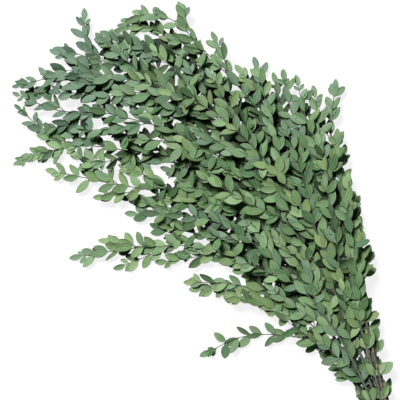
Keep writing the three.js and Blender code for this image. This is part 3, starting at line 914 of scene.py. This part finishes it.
def rgb(red, green, blue):
    """The linear colour of a surface that the bright light shows in this colour, from 0 to 255."""
    screen = np.array([red, green, blue]) / SCREEN["whole"]
    curved = ((screen + SCREEN["offset"]) / (1 + SCREEN["offset"])) ** SCREEN["power"]
    linear = np.where(screen <= SCREEN["toe_ends"], screen / SCREEN["toe"], curved)
    return (*(linear / STUDIO["brightness"]).tolist(), 1.0)


def leaf_marks():
    """Midrib, side veins, margin and rim of a leaf, from its own unwrapped sheet."""
    titles = ("Midrib", "Veins", "Margin", "Rim", "Along")
    nodes, _, out = new_group("leaf_marks", {}, dict.fromkeys(titles, FLOAT))
    sheet = nodes.add("ShaderNodeUVMap").outputs[0]
    apart = nodes.add("ShaderNodeSeparateXYZ", {0: sheet})
    along, across = apart.outputs[0], apart.outputs[1]
    off_middle = nodes.maths("ABSOLUTE", nodes.maths("SUBTRACT", across, 0.5))
    slanted = nodes.maths("SUBTRACT", along, nodes.times(off_middle, MARKS["vein_slant"]))
    wave = nodes.maths("SINE", nodes.times(slanted, MARKS["vein_turns"]))
    crest = nodes.ramp(wave, *MARKS["vein_crest"])
    nodes.link(nodes.ramp(off_middle, *MARKS["midrib"]), out["Midrib"])
    nodes.link(nodes.times(crest, nodes.ramp(off_middle, *MARKS["vein_ends"])), out["Veins"])
    nodes.link(nodes.ramp(off_middle, *MARKS["margin"]), out["Margin"])
    nodes.link(nodes.ramp(off_middle, *MARKS["rim"]), out["Rim"])
    nodes.link(along, out["Along"])
    return nodes.tree


def leaf_green(nodes, given, mottle, blotch):
    """The green of a leaf without its marks, and how browned it is, from what its own tint says."""
    tint = nodes.attribute("leaf_tint")
    tone, warmth, coolness = nodes.add("ShaderNodeSeparateColor", {0: tint["Color"]}).outputs
    lit = nodes.maths("ADD", tone, nodes.ramp(blotch, *SKIN["blotch_lightens"]), clamp=True)
    green = nodes.blend(lit, given["Deep"], given["Light"])
    green = nodes.blend(warmth, green, given["Warm"])
    green = nodes.blend(coolness, green, given["Cool"])
    green = nodes.blend(nodes.ramp(mottle, *SKIN["mottle_deepens"]), green, given["Deep"])
    return green, tint["Alpha"]


def leaf_wear(nodes, marks, browned, where, mottle):
    """How brown a leaf is: at its tip and its edge by its own tint, and in specks."""
    tip = nodes.ramp(marks["Along"], *SKIN["worn_tip"])
    edge = nodes.times(marks["Margin"], SKIN["worn_edge"])
    worn = nodes.times(nodes.maths("MAXIMUM", tip, edge), browned)
    specks = nodes.ramp(nodes.noise(where, *SKIN["speck"]), *SKIN["speck_is"])
    worn = nodes.maths("MAXIMUM", worn, specks)
    return nodes.maths("MULTIPLY", worn, nodes.ramp(mottle, *SKIN["wear_breaks"]), clamp=True)


def leaf_colouring():
    """The colour of one side of a leaf, from its greens and its own tint, with painted highlight and shade.
    """
    greens = dict.fromkeys(LEAF_SIDES[0]["colours"], COLOUR)
    nodes, given, out = new_group(
        "leaf_colouring",
        {**greens, "Vein Strength": FLOAT},
        {"Colour": COLOUR, "Height": FLOAT, "Mottle": FLOAT},
    )
    where = nodes.own_place()
    mottle = nodes.noise(where, *SKIN["mottle"])
    green, browned = leaf_green(nodes, given, mottle, nodes.noise(where, *SKIN["blotch"]))
    marks = nodes.add("ShaderNodeGroup", node_tree=leaf_marks()).outputs
    pale_veins = nodes.times(marks["Veins"], SKIN["pale_veins"])
    # Pale margin: partly the leaf's own paler edge, partly a painted highlight where its curved edge catches
    # light.
    pale_margin_and_highlight = nodes.times(marks["Margin"], SKIN["pale_margin_and_highlight"])
    pale = nodes.maths("MAXIMUM", nodes.maths("MAXIMUM", marks["Midrib"], pale_veins), pale_margin_and_highlight)
    green = nodes.blend(nodes.times(pale, given["Vein Strength"]), green, given["Vein"])
    # Dark rim: partly the leaf's own darker edge, partly painted contact shadow where leaves lie on each
    # other.
    green = nodes.blend(nodes.times(marks["Rim"], SKIN["dark_rim_and_contact_shade"]), green, given["PaintedShade"])
    green = nodes.blend(leaf_wear(nodes, marks, browned, where, mottle), green, given["Rust"])
    # Painted shade: the deeper in the bunch a leaf lies, the more it is darkened, standing in for the shadow
    # there.
    inside = nodes.times(nodes.attribute("painted_shade_depth")["Fac"], SKIN["painted_shade_inside"])
    nodes.link(nodes.blend(inside, green, given["PaintedShade"]), out["Colour"])
    groove = nodes.times(marks["Midrib"], SKIN["sunk_midrib"])
    groove = nodes.maths("SUBTRACT", groove, nodes.times(marks["Veins"], SKIN["sunk_veins"]))
    nodes.link(nodes.maths("ADD", groove, nodes.times(mottle, SKIN["grain"])), out["Height"])
    nodes.link(mottle, out["Mottle"])
    return nodes.tree


def leaf_material(side, colouring):
    """The surface of the leaves on one side."""
    material, nodes, shader = new_material(side["name"], Specular_IOR_Level=side["gloss"])
    leaf = nodes.add("ShaderNodeGroup", node_tree=colouring)
    for title, colour in side["colours"].items():
        leaf.inputs[title].default_value = rgb(*colour)
    leaf.inputs["Vein Strength"].default_value = side["vein_strength"]
    nodes.link(leaf.outputs["Colour"], shader["Base Color"])
    rough = nodes.ramp(leaf.outputs["Mottle"], *SKIN["rough_over"], *side["rough"])
    nodes.link(rough, shader["Roughness"])
    nodes.link(nodes.bump(leaf.outputs["Height"], side["relief"], SKIN["relief_depth"]), shader["Normal"])
    return material


def bark_material(kind):
    """Bark from grey to pale near the cut ends, in patches, and greener towards the tips."""
    material, nodes, shader = new_material(kind["name"], Specular_IOR_Level=BARK["gloss"])
    where = nodes.own_place()
    far = nodes.add("ShaderNodeVectorMath", {0: where}, operation="LENGTH").outputs["Value"]
    youth = nodes.ramp(far, *BARK["green_from"])
    patches = nodes.ramp(nodes.noise(where, *BARK["patches"]), *kind["spread"])
    old = nodes.shade(patches, kind["tones"])
    young = nodes.shade(nodes.noise(where, *BARK["streaks"]), BARK["young"])
    flakes = nodes.ramp(nodes.noise(where, *BARK["flakes"]), *BARK["flake_is"])
    nodes.link(nodes.blend(flakes, nodes.blend(youth, old, young), rgb(*BARK["flake"])), shader["Base Color"])
    nodes.link(nodes.ramp(youth, *BARK["rough"]), shader["Roughness"])
    nodes.link(nodes.bump(nodes.noise(where, *BARK["cracks"]), *BARK["relief"]), shader["Normal"])
    return material


def cut_wood_material():
    """Pale, grainy end wood."""
    material, nodes, shader = new_material("eucalyptus_cut_end", Roughness=CUT_WOOD["rough"])
    grain = nodes.noise(nodes.own_place(), *CUT_WOOD["grain"])
    nodes.link(nodes.shade(grain, CUT_WOOD["tones"]), shader["Base Color"])
    nodes.link(nodes.bump(grain, *CUT_WOOD["relief"]), shader["Normal"])
    return material


def rubber_material():
    """Natural rubber: matt tan in soft clouds, and paler in its pores."""
    material, nodes, shader = new_material("band_rubber", Specular_IOR_Level=RUBBER["gloss"])
    where = nodes.own_place()
    clouds = nodes.noise(where, *RUBBER["clouds"])
    pores = nodes.noise(where, *RUBBER["pores"])
    colour = nodes.shade(clouds, RUBBER["tones"])
    colour = nodes.blend(nodes.ramp(pores, *RUBBER["pore_is"]), colour, rgb(*RUBBER["pore"]))
    nodes.link(colour, shader["Base Color"])
    nodes.link(nodes.ramp(clouds, *RUBBER["rough"]), shader["Roughness"])
    nodes.link(nodes.bump(pores, *RUBBER["relief"]), shader["Normal"])
    return material


def model_leaf(form, faces):
    """One leaf blade with its short stalk: a sheet whose rows are narrowed, arched, folded and twisted."""
    last = len(LEAF_ROWS) - 1
    length, width = LEAF_MODEL["length"] * MM, LEAF_MODEL["width"] * MM
    bpy.ops.mesh.primitive_grid_add(x_subdivisions=last, y_subdivisions=2, size=1)
    leaf = bpy.context.object
    places = places_in(leaf.data)
    row_of = np.rint((places[:, 0] + 0.5) * last).astype(int)
    at_edge = np.abs(places[:, 1]) > LEAF_MODEL["off_middle"]
    bpy.ops.object.mode_set(mode="EDIT")
    for row, (along, half) in enumerate(LEAF_ROWS):
        start = row / last - 0.5
        wide = half * width
        blade = max(0.0, along - LEAF_ROWS[1][0])
        swept = form["sweep"] * blade**2 * length
        sunk = -form["arch"] * blade**2 * length
        in_row = np.flatnonzero(row_of == row)
        select_points(leaf, in_row)
        bpy.ops.transform.resize(value=(1, wide, 1), center_override=(start, 0, 0))
        bpy.ops.transform.translate(value=(along * length - start, swept, sunk))
        select_points(leaf, np.flatnonzero((row_of == row) & at_edge))
        bpy.ops.transform.translate(value=(0, 0, form["cup"] * wide))
        select_points(leaf, in_row)
        middle = (along * length, swept, sunk)
        bpy.ops.transform.rotate(value=form["twist"] * blade, orient_axis="X", center_override=middle)
    bpy.ops.object.mode_set(mode="OBJECT")
    for face in faces:
        leaf.data.materials.append(face)
    only_select(leaf)
    wall = leaf.modifiers.new("blade", "SOLIDIFY")
    wall.thickness = LEAF_MODEL["thickness"] * MM
    wall.offset = 0
    wall.material_offset = 1
    wall.material_offset_rim = 0
    bpy.ops.object.modifier_apply(modifier=wall.name)
    bpy.ops.object.shade_smooth_by_angle(angle=math.radians(LEAF_MODEL["smooth_below"]))
    return leaf


def find_depths(all_shoots):
    """Marks how deep in the bunch each leaf is, from 0 to 1, which also sets how much painted shade it gets.
    """
    leaves = [leaf for shoots in all_shoots for shoot in shoots for leaf in shoot["leaves"]]
    middles = np.array([leaf["base"] + leaf["along"] * leaf["length"] / 2 for leaf in leaves])
    for leaf, middle in zip(leaves, middles):
        away = np.hypot(*(middles - middle).T[:2])
        above = (away < DEPTH["beside"]) & (middles[:, 2] > middle[2] + DEPTH["higher"])
        to_one_side = math.hypot(*(middles[away < DEPTH["around"]].mean(0) - middle)[:2])
        inside = 1 - share_between(to_one_side, *DEPTH["at_the_edge"])
        leaf["depth"] = inside * share_between(above.sum(), DEPTH["shaded_from"], DEPTH["deepest_at"])


def crossing_leaves(leaves, draws):
    """More leaves inside the bunch, each across one that others hide."""
    hidden = [leaf for leaf in leaves if leaf["depth"] == 1 and draws.unit() < CROSSED_SHARE]
    for leaf in hidden:
        leaves.append(settled_leaf(leaf["base"], leaf["side"], leaf["normal"], leaf["length"], leaf["width"]))


def shoot_tint(stem, draws):
    """What all leaves of one shoot share of their tone, warmth and coolness."""
    tone = draws.between(TINT["shoot_tone"])
    warm = draws.between(TINT["shoot_warm"])
    return tone, warm, draws.between(TINT["shoot_cool"]) + stem.get("cooler", 0.0)


def leaf_tint(leaf, shared, draws):
    """Tone, warmth, coolness and browning of one leaf, by its place, its shoot's tint and its own draws."""
    x, y, _ = leaf["base"]
    at_far_tips = share_between(-x, *TINT["far_tips"]) * share_between(y, *TINT["upper"])
    low_down = 1 - share_between(y, *TINT["low_down"])
    tone = draws.between(TINT["tone"]) * (1 - TINT["far_darker"] * at_far_tips) + shared[0]
    tone += share_between(y, *TINT["crown"]) * TINT["crown_lighter"]
    # Painted light: the shoots at the left are lightened, lifting the shade that the stems above cast there.
    tone += at_the_left(leaf["base"]) * TINT["left_painted_light"]
    warm = draws.between(TINT["warm"]) + low_down * TINT["low_warmer"] - at_far_tips + shared[1]
    cool = draws.between(TINT["cool"]) + at_far_tips * TINT["far_cooler"] + shared[2]
    cool += share_between(y, *TINT["top"]) * TINT["top_cooler"]
    browned = draws.between(TINT["worn" if draws.unit() < TINT["worn_share"] else "fresh"])
    return [min(1.0, max(0.0, part)) for part in (tone, warm, cool, browned)]


def leaf_copy(model, leaf, tint):
    """A copy of a model leaf with its own mesh, scaled and turned to its place."""
    copy = model.copy()
    copy.data = model.data.copy()
    stretch = leaf["length"] / LEAF_MODEL["length"]
    spread = leaf["width"] / LEAF_MODEL["width"]
    thicken = min(1.0, (stretch + spread) / 2)
    axes = [leaf["along"] * stretch, leaf["side"] * spread, leaf["normal"] * thicken, leaf["base"] * MM]
    copy.data.transform(Matrix([*zip(*axes), (0, 0, 0, 1)]))
    count = len(copy.data.vertices)
    tints = copy.data.attributes.new("leaf_tint", "FLOAT_COLOR", "POINT").data
    tints.foreach_set("color", np.tile(tint, count).astype(np.float32))
    # How much painted shade the leaf gets, from how deep in the bunch it lies.
    depths = copy.data.attributes.new("painted_shade_depth", "FLOAT", "POINT").data
    depths.foreach_set("value", np.full(count, leaf["depth"], np.float32))
    bpy.context.collection.objects.link(copy)
    return copy


def pressed(piece):
    """Presses what comes too near the surface softly against it, without passing through."""
    places = places_in(piece.data)
    height = places[:, 2]
    limit = PRESSED_BELOW * MM
    low = height < limit
    height[low] = limit * np.exp((height[low] - limit) / limit)
    piece.data.vertices.foreach_set("co", places.ravel())
    piece.data.update()


def foliage(stem, shoots, models):
    """The leaves of one stem, in one piece."""
    draws = Draws(stem["seed"] + LOOK_SEED)
    copies = []
    for shoot in shoots:
        shared = shoot_tint(stem, draws)
        for leaf in shoot["leaves"]:
            model = models[int(draws.unit() * len(models))]
            copies.append(leaf_copy(model, leaf, leaf_tint(leaf, shared, draws)))
    only_select(*copies)
    bpy.ops.object.join()
    leaves = bpy.context.object
    leaves.name = leaves.data.name = stem["name"].replace("leafy_stem", "leaves")
    pressed(leaves)
    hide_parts(stem["name"])
    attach(leaves, "root")


def round_along(name, runs, roundness, closed=False):
    """A round solid along each run of places, given with their radii in millimetres."""
    curve = bpy.data.curves.new(name, "CURVE")
    curve.dimensions = "3D"
    curve.bevel_depth = MM
    curve.bevel_resolution = roundness
    curve.use_fill_caps = not closed
    for run in runs:
        spline = curve.splines.new("POLY")
        spline.points.add(len(run) - 1)
        for point, (place, radius) in zip(spline.points, run):
            point.co = (*(place * MM), 1)
            point.radius = radius
        spline.use_cyclic_u = closed
        spline.use_smooth = True
    piece = bpy.data.objects.new(name, curve)
    bpy.context.collection.objects.link(piece)
    only_select(piece)
    bpy.ops.object.convert(target="MESH")
    bpy.context.object.data.materials.clear()
    return bpy.context.object


def wood_curve(name, shoots, roundness):
    """Tapered round wood along the shoots, a little thicker at each pair of leaves."""
    runs = []
    reach = WOOD["node_reach"]
    for shoot in shoots:
        line = shoot["line"]
        swells = {}
        for at in shoot["nodes"]:
            swells.update({at - reach: 1.0, at: WOOD["node_swell"], at + reach: 1.0})
        places = {at: swell for at, swell in swells.items() if 0 < at < line.length - reach}
        for at in even_places(0, line.length, WOOD["step"]):
            if all(abs(at - other) > reach for other in swells) or at in (0, line.length):
                places[at] = 1.0
        runs.append([(line.place(at)[0], wood_radius(shoot, at) * places[at]) for at in sorted(places)])
    return round_along(name, runs, roundness)


def show_cut(trunk, cut_end, cut_wood):
    """Gives the flat face where a stem was cut a rim of bark and its own pale wood."""
    trunk.data.materials.append(cut_wood)
    bpy.ops.object.mode_set(mode="EDIT")
    bpy.ops.mesh.select_all(action="DESELECT")
    shape = bmesh.from_edit_mesh(trunk.data)
    ends = [face for face in shape.faces if len(face.verts) != 4]
    cut = min(ends, key=lambda face: (face.calc_center_median() - cut_end).length)
    cut.select_set(True)
    bmesh.update_edit_mesh(trunk.data)
    bpy.ops.mesh.inset(thickness=WOOD["rim"] * MM)
    trunk.active_material_index = 1
    bpy.ops.object.material_slot_assign()
    bpy.ops.object.mode_set(mode="OBJECT")


def wood(stem, shoots, bark, cut_wood):
    """The wood of one stem and its twigs, in one piece."""
    name = stem["name"].replace("leafy_stem", "wood")
    main, *twigs = shoots
    trunk = wood_curve(name, [main], WOOD["stem_roundness"])
    trunk.data.materials.append(bark)
    show_cut(trunk, Vector(stem["line"].points[0] * MM), cut_wood)
    if twigs:
        side = wood_curve(name + "_twigs", twigs, WOOD["twig_roundness"])
        side.data.materials.append(bark)
        only_select(trunk, side)
        bpy.ops.object.join()
        trunk = bpy.context.object
    trunk.name = trunk.data.name = name
    only_select(trunk)
    bpy.ops.object.shade_smooth_by_angle(angle=math.radians(WOOD["smooth_below"]))
    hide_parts(stem["name"])
    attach(trunk, "root")


def sheaf_outline(margin):
    """The line round the tied stems, a margin away from their wood, that starts under them."""
    ties = [(tie_of(stem), stem["radius"] + margin) for stem in STEMS]
    points = []
    for i in range(STRAND["outline"] + 1):
        angle = 2 * math.pi * i / STRAND["outline"] - math.pi / 2
        outwards = ACROSS * math.cos(angle) + UP * math.sin(angle)
        centre, reach = max(ties, key=lambda tie: tie[0].dot(outwards) + tie[1])
        points.append(centre + outwards * reach)
    return Line(points)


def elastic_band(rubber):
    """A round elastic wound side by side: each turn steps one along where the last one crosses back over."""
    radius, last = STRAND["radius"], STRAND["turns"] - 1
    outline = sheaf_outline(BAND["gap"] + radius)
    run = []
    for turn in range(STRAND["turns"]):
        for i in range(STRAND["points"]):
            share = i / STRAND["points"]
            crossed = share_between(share, *STRAND["crosses"])
            lane = turn + crossed if turn < last else turn * (1 - crossed)
            over = math.sin(math.pi * crossed) ** 0.5 if turn == last and 0 < crossed < 1 else 0.0
            place, along = outline.place(share * outline.length)
            place = place + CUT_WARDS * (lane - last / 2) * STRAND["pitch"]
            run.append((place + np.cross(along, CUT_WARDS) * over * 2 * radius, radius))
    band = round_along("elastic_loops", [run], STRAND["roundness"], closed=True)
    band.data.materials.append(rubber)
    only_select(band)
    bpy.ops.object.shade_smooth()
    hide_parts("elastic_band")
    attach(band, "root")


def studio():
    """A pale surface, a soft sun from the left, weak green light from all round, and white beyond."""
    bpy.ops.mesh.primitive_plane_add(size=STUDIO["surface_size"], location=(0, 0, 0))
    floor = bpy.context.object
    floor.name = "floor"
    material, nodes, shader = new_material("pale_surface", Roughness=0.9, Specular_IOR_Level=0.1)
    seen = nodes.seen_directly()
    shades = [(STUDIO[part],) * 3 + (1,) for part in ("surface_bounce", "surface_seen")]
    nodes.link(nodes.blend(seen, *shades), shader["Base Color"])
    shader["Emission Color"].default_value = WHITE
    nodes.link(nodes.times(seen, STUDIO["surface_glow"]), shader["Emission Strength"])
    floor.data.materials.append(material)
    turned = math.radians(STUDIO["sun_tilt"]), 0, math.radians(STUDIO["sun_side"])
    bpy.ops.object.light_add(type="SUN", rotation=turned)
    sun = bpy.context.object
    sun.data.energy = STUDIO["sun"]
    sun.data.angle = math.radians(STUDIO["sun_size"])
    world = bpy.data.worlds.new("studio")
    bpy.context.scene.world = world
    world.use_nodes = True
    background = world.node_tree.nodes["Background"].inputs
    nodes = Nodes(world.node_tree)
    seen = nodes.seen_directly()
    nodes.link(nodes.blend(seen, STUDIO["sky_colour"], WHITE), background["Color"])
    nodes.link(nodes.maths("MAXIMUM", seen, STUDIO["sky"]), background["Strength"])
    bpy.context.scene.view_settings.view_transform = "Standard"


def eucalyptus_bunch():
    """Leaves and wood for each stem, and the elastic round them all."""
    colouring = leaf_colouring()
    faces = [leaf_material(side, colouring) for side in LEAF_SIDES]
    models = [model_leaf(form, faces) for form in LEAF_FORMS]
    grey_bark, old_bark = bark_material(GREY_BARK), bark_material(OLD_BARK)
    cut_wood = cut_wood_material()
    main_lines()
    add_twigs()
    all_shoots = [shoots_of(stem) for stem in STEMS]
    find_depths(all_shoots)
    for stem, shoots in zip(STEMS, all_shoots):
        draws = Draws(stem["seed"])
        for shoot in shoots:
            crossing_leaves(shoot["leaves"], draws)
    find_depths(all_shoots)
    for stem, shoots in zip(STEMS, all_shoots):
        foliage(stem, shoots, models)
        wood(stem, shoots, old_bark if stem.get("old") else grey_bark, cut_wood)
    elastic_band(rubber_material())
    for model in models:
        bpy.data.objects.remove(model)


camera_over_the_bunch()
studio()
eucalyptus_bunch()
